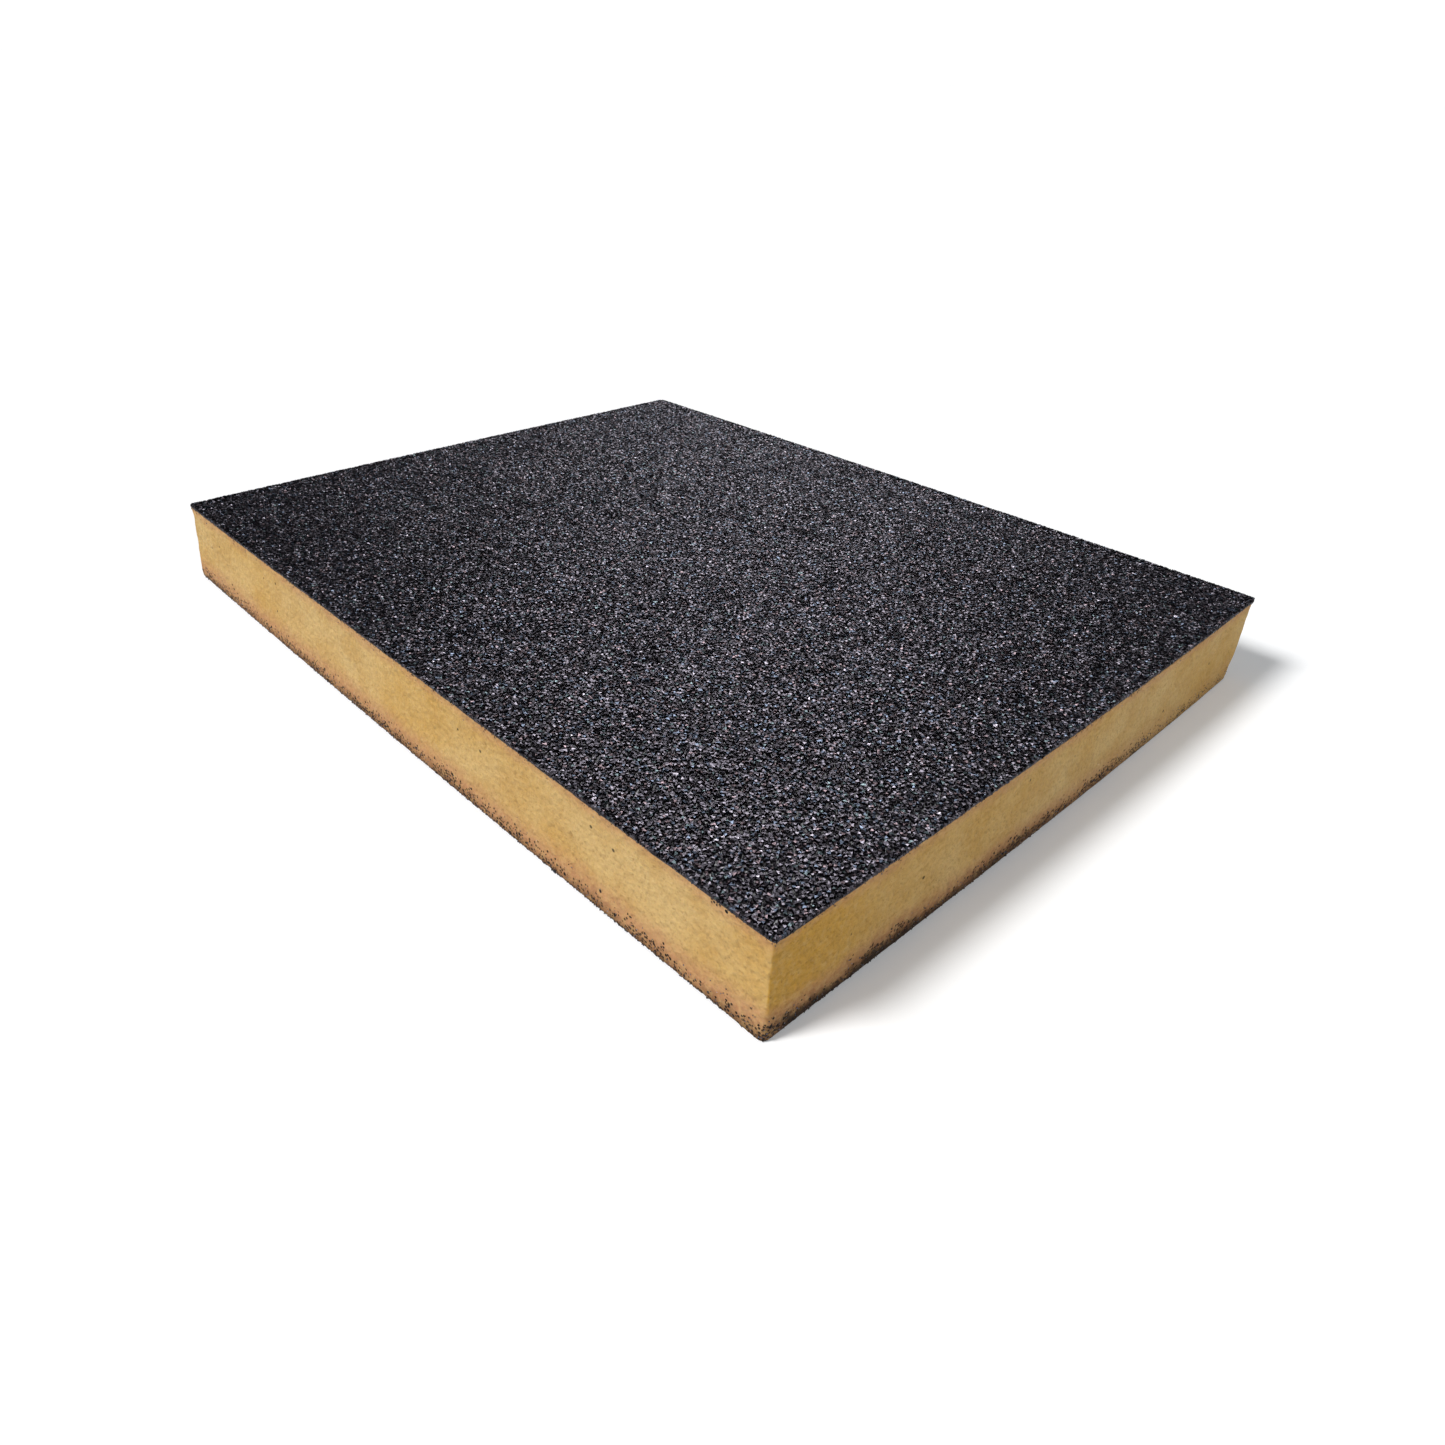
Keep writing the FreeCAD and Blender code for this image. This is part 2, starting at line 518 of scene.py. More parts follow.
class Noise:
    """Repeatable noise on a lattice, worked out for whole arrays of points."""

    @staticmethod
    def hashed(cells: Array, seed: int) -> Array:
        """Scramble whole-number cells into even random numbers.

        Args:
            cells: whole numbers, of shape (..., 3).
            seed: a number that picks the pattern.

        Returns:
            Numbers from 0 to 1, of shape (...).
        """
        with np.errstate(over="ignore"):
            whole = cells.astype(np.int64).astype(np.uint64)
            mixed = whole[..., 0] * np.uint64(0x9E3779B1) ^ whole[..., 1] * np.uint64(0x85EBCA77)
            mixed ^= whole[..., 2] * np.uint64(0xC2B2AE3D) ^ np.uint64(seed * 0x27D4EB2F)
            mixed ^= mixed >> np.uint64(15)
            mixed *= np.uint64(0x2545F4914F6CDD1D)
            mixed ^= mixed >> np.uint64(29)
        return (mixed & np.uint64(0xFFFFFF)).astype(float) / 0x1000000

    @classmethod
    def smooth(cls, points: Array, size: float, seed: int) -> Array:
        """Blend the hashed values at a cell's eight corners by an eased share along each axis.

        Args:
            points: places, of shape (..., 3).
            size: the lattice's spacing, in the points' units.
            seed: a number that picks the pattern.

        Returns:
            Numbers from -1 to 1, of shape (...).
        """
        scaled = points / size
        base = np.floor(scaled)
        share = scaled - base
        share = share * share * (3.0 - 2.0 * share)
        total = np.zeros(points.shape[:-1])
        for corner in np.ndindex(2, 2, 2):
            weight = np.where(np.array(corner, bool), share, 1.0 - share).prod(axis=-1)
            total += weight * cls.hashed(base + np.array(corner), seed)
        return 2.0 * total - 1.0

    @classmethod
    def pits(cls, points: Array, size: float, radii: tuple[float, float], share: float, seed: int) -> Array:
        """Round pits, one in some of the lattice's cells, each 1 at its middle and 0 at its rim.

        The value is (1 - (distance / radius) ** 2) ** 2 of the deepest pit that reaches the point.

        Args:
            points: places, of shape (..., 3).
            size: the lattice's spacing.
            radii: the smallest and largest pit's radius.
            share: how many of the cells hold a pit, from 0 to 1.
            seed: a number that picks the pattern.

        Returns:
            Numbers from 0 to 1, of shape (...).
        """
        base = np.floor(points / size)
        deepest = np.zeros(points.shape[:-1])
        for offset in np.ndindex(3, 3, 3):
            cell = base + np.array(offset) - 1
            middle = np.stack([cls.hashed(cell, seed + axis) for axis in range(3)], axis=-1)
            radius = radii[0] + (radii[1] - radii[0]) * cls.hashed(cell, seed + 3) ** 2
            squared = (((cell + middle) * size - points) ** 2).sum(axis=-1) / radius**2
            depth = np.clip(1.0 - squared, 0.0, 1.0) ** 2
            deepest = np.maximum(deepest, depth * (cls.hashed(cell, seed + 4) < share))
        return deepest


@dataclass(frozen=True)
class Outline:
    """The plan of a die-cut layer: a rectangle with round corners whose sides bow outwards a little.

    Corners and sides go anticlockwise. The corners start at +X -Y, and each side follows its corner,
    so the sides are +X, +Y, -X and -Y.

    Attributes:
        half_length: half the size along X, at the corners.
        half_width: half the size along Y, at the corners.
        radii: the corners' radii.
        bows: how far each side's middle stands out.
    """

    half_length: float
    half_width: float
    radii: tuple[float, float, float, float]
    bows: tuple[float, float, float, float]

    SIGNS = np.array([(1, -1), (1, 1), (-1, 1), (-1, -1)], float)

    def side_counts(self, spacing: float) -> tuple[int, int, int, int]:
        """How many points each side has when they are about spacing apart."""
        long, wide = (round(2 * half / spacing) for half in (self.half_length, self.half_width))
        return wide, long, wide, long

    def around(self, per_side: tuple[int, ...], per_corner: int) -> tuple[Array, Array]:
        """Walk round the outline.

        A side's point is the straight blend between the two arcs' ends that it joins, moved out by its
        bow times 4 s (1 - s), where s goes from 0 to 1 along it. A corner's point is its centre plus its
        radius along the outward normal.

        Args:
            per_side: how many points each side has.
            per_corner: how many points each corner's arc has.

        Returns:
            The points and the outward normals, both of shape (count, 2).
        """
        size = np.array([self.half_length, self.half_width])
        radii = np.array(self.radii)[:, None]
        centres = self.SIGNS * (size - radii)
        points, normals = [], []
        for corner in range(4):
            after = (corner + 1) % 4
            turn = np.linspace(0.0, 1.0, per_corner, endpoint=False)
            angles = (corner - 1 + turn) * math.pi / 2
            arc = np.stack([np.cos(angles), np.sin(angles)], axis=-1)
            points.append(centres[corner] + radii[corner] * arc)
            normals.append(arc)
            out = np.array([math.cos(corner * math.pi / 2), math.sin(corner * math.pi / 2)])
            start = centres[corner] + radii[corner] * out
            end = centres[after] + radii[after] * out
            along = np.linspace(0.0, 1.0, per_side[corner], endpoint=False)[:, None]
            bow = self.bows[corner] * 4.0 * along * (1.0 - along)
            points.append(start + (end - start) * along + out * bow)
            normals.append(np.broadcast_to(out, (per_side[corner], 2)))
        return np.concatenate(points), np.concatenate(normals)

    def bowed_sides(self, x: Array, y: Array) -> tuple[Array, Array]:
        """How far from the middle the bowed sides stand, level with each place.

        A bow falls off from its side's middle as 1 - t t, where t is the share of the way to a corner.

        Args:
            x: the places' X.
            y: the places' Y.

        Returns:
            The nearer X side's distance and the nearer Y side's.
        """
        bow_x = np.where(x > 0, self.bows[0], self.bows[2]) * np.clip(1 - (y / self.half_width) ** 2, 0, 1)
        bow_y = np.where(y > 0, self.bows[1], self.bows[3]) * np.clip(1 - (x / self.half_length) ** 2, 0, 1)
        return self.half_length + bow_x, self.half_width + bow_y

    def nearest_radius(self, right: Array, back: Array) -> Array:
        """The nearest corner's radius, from whether a place is towards +X and towards +Y."""
        return np.where(
            right,
            np.where(back, self.radii[1], self.radii[0]),
            np.where(back, self.radii[2], self.radii[3]),
        )

    def depth(self, places: Array) -> Array:
        """How far inside the outline each place lies.

        It is the rounded rectangle's signed distance, with the half sizes swollen by the bows.

        Args:
            places: X and Y, of shape (..., 2).

        Returns:
            The distance to the edge, positive inside, of shape (...).
        """
        x, y = places[..., 0], places[..., 1]
        radius = self.nearest_radius(x > 0, y > 0)
        side_x, side_y = self.bowed_sides(x, y)
        over_x = np.abs(x) - (side_x - radius)
        over_y = np.abs(y) - (side_y - radius)
        outside = np.hypot(np.maximum(over_x, 0), np.maximum(over_y, 0))
        return radius - outside - np.minimum(np.maximum(over_x, over_y), 0)

    def trim(self, places: Array, past: Array) -> Array:
        """Cut places off at the sides, as the knife does.

        Args:
            places: X and Y, of shape (..., 2).
            past: how far outside the sides the cut is, of shape (...).

        Returns:
            The places, with each that lay beyond a side's bowed line moved straight onto it.
        """
        x, y = places[..., 0], places[..., 1]
        side_x, side_y = self.bowed_sides(x, y)
        reach_x, reach_y = side_x + past, side_y + past
        return np.stack([np.clip(x, -reach_x, reach_x), np.clip(y, -reach_y, reach_y)], axis=-1)

    def fill(self, spacing: float) -> Array:
        """Cover the outline with a grid.

        A square grid is stretched to the half sizes. Near a corner, the offsets a and b from the corner's
        square become a sqrt(1 - b b / 2) and b sqrt(1 - a a / 2) in radii, which turns the square into a
        quarter disc. The bows then push each point out by its own share of the way to the side.

        Args:
            spacing: about how far apart the grid's points are.

        Returns:
            Places of shape (rows along X, columns along Y, 2).
        """
        steps_x = round(2 * self.half_length / spacing)
        steps_y = round(2 * self.half_width / spacing)
        s, t = np.meshgrid(np.linspace(-1, 1, steps_x + 1), np.linspace(-1, 1, steps_y + 1), indexing="ij")
        right, back = s > 0, t > 0
        radius = self.nearest_radius(right, back)
        x, y = np.abs(s) * self.half_length, np.abs(t) * self.half_width
        a = (x - self.half_length + radius) / radius
        b = (y - self.half_width + radius) / radius
        corner = (a > 0) & (b > 0)
        a_round = a * np.sqrt(np.clip(1 - b * b / 2, 0, 1))
        b_round = b * np.sqrt(np.clip(1 - a * a / 2, 0, 1))
        x = np.where(corner, self.half_length - radius + a_round * radius, x)
        y = np.where(corner, self.half_width - radius + b_round * radius, y)
        x = x + np.where(right, self.bows[0], self.bows[2]) * np.abs(s) * (1 - t * t)
        y = y + np.where(back, self.bows[1], self.bows[3]) * np.abs(t) * (1 - s * s)
        return np.stack([np.where(right, x, -x), np.where(back, y, -y)], axis=-1)


class Surface:
    """Vertices and faces as arrays, gathered patch by patch into one mesh."""

    def __init__(self) -> None:
        """Start with nothing."""
        self.points: list[Array] = []
        self.faces: list[Array] = []
        self.count = 0

    def add_points(self, points: Array) -> Array:
        """Add points, and return their numbers in the points' own layout.

        Args:
            points: places, of shape (..., 3).

        Returns:
            Whole numbers of shape (...).
        """
        numbers = np.arange(points[..., 0].size).reshape(points.shape[:-1]) + self.count
        self.points.append(points.reshape(-1, 3))
        self.count += numbers.size
        return numbers

    def add_quads(self, numbers: Array, wrap: bool = False, flip: bool = False) -> None:
        """Join a grid of numbered points into quads.

        Args:
            numbers: a two-way grid of point numbers.
            wrap: whether the second direction closes on itself.
            flip: whether the faces look the other way.
        """
        grid = np.concatenate([numbers, numbers[:, :1]], axis=1) if wrap else numbers
        corners = (grid[:-1, :-1], grid[1:, :-1], grid[1:, 1:], grid[:-1, 1:])
        quads = np.stack(corners, axis=-1).reshape(-1, 4)
        self.faces.append(quads[:, ::-1] if flip else quads)

    def add_fan(self, ring: Array, middle: int, flip: bool = False) -> None:
        """Close a ring of point numbers to a middle point with triangles."""
        fan = np.stack([ring, np.roll(ring, -1), np.full(ring.shape, middle)], axis=-1)
        self.faces.append(fan[:, ::-1] if flip else fan)

    def build(self, name: str, material: bpy.types.Material, smooth: bool) -> bpy.types.Object:
        """Make the mesh object, at the origin.

        Args:
            name: the piece's name.
            material: its finish.
            smooth: whether its shading hides the edges between its faces.

        Returns:
            The new object, in the scene's collection.
        """
        mesh = bpy.data.meshes.new(name)
        corners = np.concatenate([face.ravel() for face in self.faces])
        sides = np.concatenate([np.full(len(face), face.shape[1]) for face in self.faces])
        starts = np.concatenate([[0], np.cumsum(sides)[:-1]])
        mesh.vertices.add(self.count)
        mesh.vertices.foreach_set("co", np.concatenate(self.points).astype(np.float32).ravel())
        mesh.loops.add(corners.size)
        mesh.loops.foreach_set("vertex_index", corners.astype(np.int32))
        mesh.polygons.add(sides.size)
        mesh.polygons.foreach_set("loop_start", starts.astype(np.int32))
        mesh.polygons.foreach_set("use_smooth", np.full(sides.size, smooth))
        mesh.update(calc_edges=True)
        mesh.validate()
        mesh.materials.append(material)
        piece = bpy.data.objects.new(name, mesh)
        bpy.context.scene.collection.objects.link(piece)
        return piece


def set_attribute(piece: bpy.types.Object, name: str, values: Array) -> None:
    """Store one number or one colour for each vertex of a piece.

    Args:
        piece: the piece.
        name: the attribute's name.
        values: numbers of shape (count,), or colours of shape (count, 4).
    """
    is_colour = values.ndim == 2
    kind = "FLOAT_COLOR" if is_colour else "FLOAT"
    attribute = piece.data.attributes.new(name, kind, "POINT")
    key = "color" if is_colour else "value"
    attribute.data.foreach_set(key, values.astype(np.float32).ravel())


def settle(piece: bpy.types.Object, slot: str, *nodes: str) -> bpy.types.Object:
    """Ride the piece on the block's one body and hide the CAD nodes that it stands for."""
    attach(piece, "root")
    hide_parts(*nodes)
    LOG.info("%s: %d faces, for %s", piece.name, len(piece.data.polygons), ", ".join(nodes))
    return piece


# ---------------------------------------------------------------------------------------------------
# The block's layers


class Face(Enum):
    """Which broad face of the block a coat is on, with the way that it looks along Z."""

    UPPER = 1
    LOWER = -1

    @property
    def prefix(self) -> str:
        """The start of the names of this face's nodes and pieces."""
        return self.name.lower()


@dataclass
class FoamCore:
    """The soft slab: dense cut foam whose sides have sprung back to a slight waist.

    Attributes:
        foot: the plan of its lower face.
        crown: the plan of its upper face.
        low: the height of its lower face.
        high: the height of its upper face.
        finish: the foam's finish.
        stations: heights as shares of the wall, and how far it stands back there.
        cut_swing: how far the knife's path wandered.
        lump_swing: how far the wall swells and sinks between its cells.
        tooth_swing: the same for its finest roughness.
        pit_depth: how deep a cell that was cut open is.
        spacing: the distance between the wall's columns.
        rows: how many rows of faces the wall has.
        per_corner: how many columns each upright corner has.
        seed: what picks its unevenness.
    """

    foot: Outline
    crown: Outline
    low: float
    high: float
    finish: FoamFinish
    stations: tuple[tuple[float, float], ...] = (
        (0.0, 0.02 * MM),
        (0.05, 0.0),
        (0.2, 0.04 * MM),
        (0.55, 0.22 * MM),
        (0.86, 0.26 * MM),
        (0.96, 0.20 * MM),
        (1.0, 0.12 * MM),
    )
    cut_swing: float = 0.13 * MM
    lump_swing: float = 0.055 * MM
    tooth_swing: float = 0.035 * MM
    pit_depth: float = 0.24 * MM
    spacing: float = 0.235 * MM
    rows: int = 48
    per_corner: int = 14
    seed: int = 11

    def inset(self, share: Array) -> Array:
        """How far the wall stands back at a share of its height, by easing from station to station."""
        places, depths = np.array(self.stations).T
        index = np.clip(np.searchsorted(places, share, side="right") - 1, 0, len(places) - 2)
        step = (share - places[index]) / (places[index + 1] - places[index])
        eased = step * step * (3 - 2 * step)
        return depths[index] + (depths[index + 1] - depths[index]) * eased

    def plans(self) -> tuple[Array, Array, Array]:
        """Walk round the foot and the crown in the same columns, and give the outward normals as well."""
        per_side = self.foot.side_counts(self.spacing)
        foot, normals = self.foot.around(per_side, self.per_corner)
        crown, _ = self.crown.around(per_side, self.per_corner)
        return foot, crown, normals

    def lip(self, foot: Array) -> Array:
        """How far the knife dragged the foam's skin down over the lower coat's edge.

        A little all round, by noise; more within a few millimetres of the +X -Y corner, by a bell curve
        of the distance to it; and most along the +X side from its middle to the +X +Y corner.

        Args:
            foot: the foot's plan, of shape (columns, 2).

        Returns:
            The lip's depth, of shape (columns,).
        """
        flat = np.concatenate([foot, np.zeros((len(foot), 1))], axis=1)
        size = np.array([self.foot.half_length, self.foot.half_width])
        away = np.linalg.norm(foot - size * (1, -1), axis=1)
        near = np.exp(-((away / (4 * MM)) ** 2))
        far = np.clip((foot[:, 1] + 4 * MM) / (34 * MM), 0, 1)
        far *= np.clip((foot[:, 0] - size[0] + 9 * MM) / (6 * MM), 0, 1)
        base = 0.09 * MM + 0.05 * MM * Noise.smooth(flat, 2.2 * MM, self.seed + 5)
        return base + 0.13 * MM * near + 0.20 * MM * far

    def wall(self) -> tuple[Array, Array]:
        """Work out the wall.

        The foot's outline blends into the crown's over the lower half of the height. Each row is drawn in
        by the inset and then moved along its own normal: out and in by slow and quick noise, and in by
        round pits where cells of the foam were cut open. The lowest row hangs down as the lip.

        Returns:
            Points of shape (rows + 1, columns, 3), and how deep in a pit each lies, from 0 to 1.
        """
        foot, crown, normals = self.plans()
        share = np.linspace(0.0, 1.0, self.rows + 1)[:, None]
        blend = np.clip(share * 2, 0, 1)[..., None]
        blend = blend * blend * (3 - 2 * blend)
        flat = foot * (1 - blend) + crown * blend - normals * self.inset(share)[..., None]
        height = np.broadcast_to(self.low + (self.high - self.low) * share, flat.shape[:2])
        points = np.concatenate([flat, height[..., None]], axis=-1)
        cut = self.cut_swing * Noise.smooth(points, 16 * MM, self.seed) * np.clip(0.3 + 4 * share, 0, 1)
        lumps = self.lump_swing * Noise.smooth(points, 1.7 * MM, self.seed + 1)
        tooth = self.tooth_swing * Noise.smooth(points, 0.8 * MM, self.seed + 2)
        pits = Noise.pits(points, 2.6 * MM, (0.35 * MM, 0.7 * MM), 0.26, self.seed + 13)
        rim = np.minimum(share, 1 - share) * self.rows
        ease = np.clip(rim / 2, 0.0, 1.0)
        moved = (cut + (lumps + tooth - self.pit_depth * pits) * ease)[..., None] * normals[None]
        points[..., :2] += moved
        points[0, :, 2] -= self.lip(foot)
        return points, pits * ease

    def stray_spots(self, random: np.random.Generator, count: int) -> tuple[Array, Array]:
        """Choose where grains that the knife pulled off have stuck to the wall.

        A grain's distance from the lower edge is the size of a normal random number, and one in eight is
        instead measured down from the upper edge. Its place along the wall is even.

        Args:
            random: the random numbers.
            count: how many grains.

        Returns:
            Places on the wall, of shape (count, 3), and the wall's level outward normals there.
        """
        wall, _ = self.wall()
        column = random.integers(0, wall.shape[1], count)
        away = np.abs(random.normal(0.0, 0.085, count)) * self.rows
        upper = random.random(count) < 0.12
        row = np.where(upper, self.rows - 0.5 * away, away).round().astype(int)
        row = np.clip(row, 1, self.rows - 1)
        spots = wall[row, column]
        tangent = wall[row, (column + 1) % wall.shape[1]] - wall[row, column - 1]
        normal = np.stack([tangent[:, 1], -tangent[:, 0], 0 * tangent[:, 0]], axis=-1)
        return spots, normal / np.linalg.norm(normal, axis=1, keepdims=True)

    def make(self) -> bpy.types.Object:
        """Returns:
            The piece that stands for the CAD foam core.
        """
        wall, pit = self.wall()
        toward = np.clip((self.plans()[2][:, 0] - 0.45) / 0.5, 0, 1)
        end = np.broadcast_to(toward * toward * (3 - 2 * toward), pit.shape)
        surface = Surface()
        rings = surface.add_points(wall)
        surface.add_quads(rings, wrap=True, flip=True)
        pits, ends = [pit.ravel()], [end.ravel()]
        for row, level, flip in ((0, self.low, True), (-1, self.high, False)):
            inner = wall[row].copy()
            inner[:, :2] *= 0.99
            inner[:, 2] = level
            inner_ring = surface.add_points(inner[None])
            middle = surface.add_points(np.array([[0.0, 0.0, level]]))
            surface.add_quads(np.concatenate([rings[row][None], inner_ring]), wrap=True, flip=not flip)
            surface.add_fan(inner_ring[0], int(middle[0]), flip=flip)
            pits.append(np.zeros(inner_ring.size + 1))
            ends.append(pits[-1])
        piece = surface.build("foam_core_foam", self.finish.build(), smooth=True)
        set_attribute(piece, "pit", np.concatenate(pits))
        set_attribute(piece, "end", np.concatenate(ends))
        settle(piece, "foam", "foam_core")
        return piece


@dataclass
class ResinFilm:
    """One cured film over a broad face: a thin closed sheet with wandering edges and a wavy surface.

    Attributes:
        face: the face that it is on.
        node: the end of its CAD node's name.
        slot: the record's material slot.
        outline: its plan.
        middle: the height of the block's mid plane.
        inner: the distance of its inner surface from the mid plane.
        outer: the same for its outer surface.
        material: its finish.
        wave: how far its outer surface rises and falls.
        seed: what picks its unevenness.
        spacing: the distance between its grid's points.
        ragged: how far its edge wanders.
    """

    face: Face
    node: str
    slot: str
    outline: Outline
    middle: float
    inner: float
    outer: float
    material: bpy.types.Material
    wave: float
    seed: int
    spacing: float = 1.2 * MM
    ragged: float = 0.07 * MM

    def make(self) -> bpy.types.Object:
        """The same plan grid is laid at both levels, the outer one raised and lowered by noise, and a band of
        quads joins their borders. Plan points move sideways by noise, so that the edge wanders.

        Returns:
            The piece that stands for this film's CAD node.
        """
        plan = self.outline.fill(self.spacing)
        outwards = float(self.face.value)
        flat = np.concatenate([plan, np.zeros(plan.shape[:-1] + (1,))], axis=-1)
        drift = np.stack([Noise.smooth(flat, 1.3 * MM, self.seed + axis) for axis in range(2)], axis=-1)
        plan = plan + self.ragged * drift
        wave = self.wave * Noise.smooth(flat, 2.1 * MM, self.seed + 2)
        surface = Surface()
        layers = []
        for distance in (self.inner + 0 * wave, self.outer + wave):
            level = self.middle + outwards * distance
            layers.append(surface.add_points(np.concatenate([plan, level[..., None]], axis=-1)))
        upwards = self.face is Face.UPPER
        surface.add_quads(layers[0], flip=upwards)
        surface.add_quads(layers[1], flip=not upwards)
        borders = [
            np.concatenate([grid[:-1, 0], grid[-1, :-1], grid[:0:-1, -1], grid[0, :0:-1]]) for grid in layers
        ]
        surface.add_quads(np.stack(borders), wrap=True, flip=upwards)
        name = f"{self.face.prefix}_{self.node}"
        piece = surface.build(f"{name}_film", self.material, smooth=True)
        return settle(piece, self.slot, name)


@dataclass(frozen=True)
class Grains:
    """Abrasive grains: crystals of eight flat facets, each with a tint of its own.

    A grain is two level triangles, one over the other and a sixth of a turn apart, joined by six facets.
    Its corners are moved at random and its axes stretched.

    Attributes:
        radius: the mean half size of a grain.
        tilt: how far grains lean, as a standard deviation.
        tints: their colours.
        shares: how many of the grains have each tint.
    """

    radius: float = 0.25 * MM
    tilt: float = math.radians(10)
    tints: tuple[Colour, ...] = (
        (0.160, 0.145, 0.172),
        (0.208, 0.188, 0.218),
        (0.107, 0.099, 0.119),
        (0.122, 0.147, 0.200),
        (0.213, 0.157, 0.172),
        (0.128, 0.168, 0.178),
        (0.350, 0.322, 0.366),
    )
    shares: tuple[float, ...] = (0.29, 0.19, 0.22, 0.12, 0.09, 0.05, 0.04)

    STEP = np.arange(6) * math.pi / 3
    CORNERS = np.stack([0.82 * np.cos(STEP), 0.82 * np.sin(STEP), 0.58 * np.cos(3 * STEP)], axis=-1)
    FACETS = np.array(
        [(0, 2, 4), (5, 3, 1), (0, 1, 2), (2, 3, 4), (4, 5, 0), (1, 3, 2), (3, 5, 4), (5, 1, 0)]
    )

    def turns(self, random: np.random.Generator, count: int) -> Array:
        """Spin each grain any way about Z, then tilt it a little about any level axis.

        The axis is level, so Rodrigues' formula gives cos I + (1 - cos) a a^T + sin [a].

        Args:
            random: the random numbers.
            count: how many.

        Returns:
            Matrices to multiply rows by, of shape (count, 3, 3).
        """
        spin, way = random.uniform(0, 2 * math.pi, (2, count))
        tilt = random.normal(0.0, self.tilt, count)
        axis = np.stack([np.cos(way), np.sin(way), 0 * way], axis=-1)
        cross = np.zeros((count, 3, 3))
        cross[:, 0, 2], cross[:, 1, 2] = axis[:, 1], -axis[:, 0]
        cross[:, 2, 0], cross[:, 2, 1] = -axis[:, 1], axis[:, 0]
        cosine, sine = np.cos(tilt)[:, None, None], np.sin(tilt)[:, None, None]
        tilted = cosine * np.eye(3) + (1 - cosine) * axis[:, :, None] * axis[:, None, :] + sine * cross
        spun = np.zeros((count, 3, 3))
        spun[:, 0, 0] = spun[:, 1, 1] = np.cos(spin)
        spun[:, 0, 1], spun[:, 1, 0] = np.sin(spin), -np.sin(spin)
        spun[:, 2, 2] = 1.0
        return spun @ tilted

    def crystals(self, random: np.random.Generator, count: int) -> Array:
        """Shape, turn and size the grains about the origin.

        Args:
            random: the random numbers.
            count: how many.

        Returns:
            Corners, of shape (count, 6, 3).
        """
        corners = self.CORNERS + random.uniform(-0.22, 0.22, (count, 6, 3))
        corners *= random.uniform((0.8, 0.8, 0.85), (1.25, 1.25, 1.3), (count, 1, 3))
        corners = corners @ self.turns(random, count)
        size = self.radius * np.clip(random.normal(1.0, 0.15, count), 0.6, 1.4)
        return corners * size[:, None, None]

    def colours(self, random: np.random.Generator, count: int) -> Array:
        """Pick a tint for each grain, a little lighter or darker than its kind, of shape (count, 4)."""
        tint = np.array(self.tints)[random.choice(len(self.tints), count, p=self.shares)]
        tint = tint * random.uniform(0.7, 1.3, (count, 1))
        return np.concatenate([tint, np.ones((count, 1))], axis=1)

    def build(
        self, name: str, corners: Array, colours: Array, material: bpy.types.Material, flip: bool = False
    ) -> bpy.types.Object:
        """Make one piece of many grains.

        Args:
            name: the piece's name.
            corners: the grains' corners, of shape (count, 6, 3).
            colours: their tints, of shape (count, 4).
            material: their finish.
            flip: whether the corners were mirrored, which turns the facets round.

        Returns:
            The piece.
        """
        surface = Surface()
        numbers = surface.add_points(corners)
        facets = self.FACETS[:, ::-1] if flip else self.FACETS
        surface.faces.append(numbers[:, facets].reshape(-1, 3))
        piece = surface.build(name, material, smooth=False)
        set_attribute(piece, "tint", np.repeat(colours, 6, axis=0))
        return piece


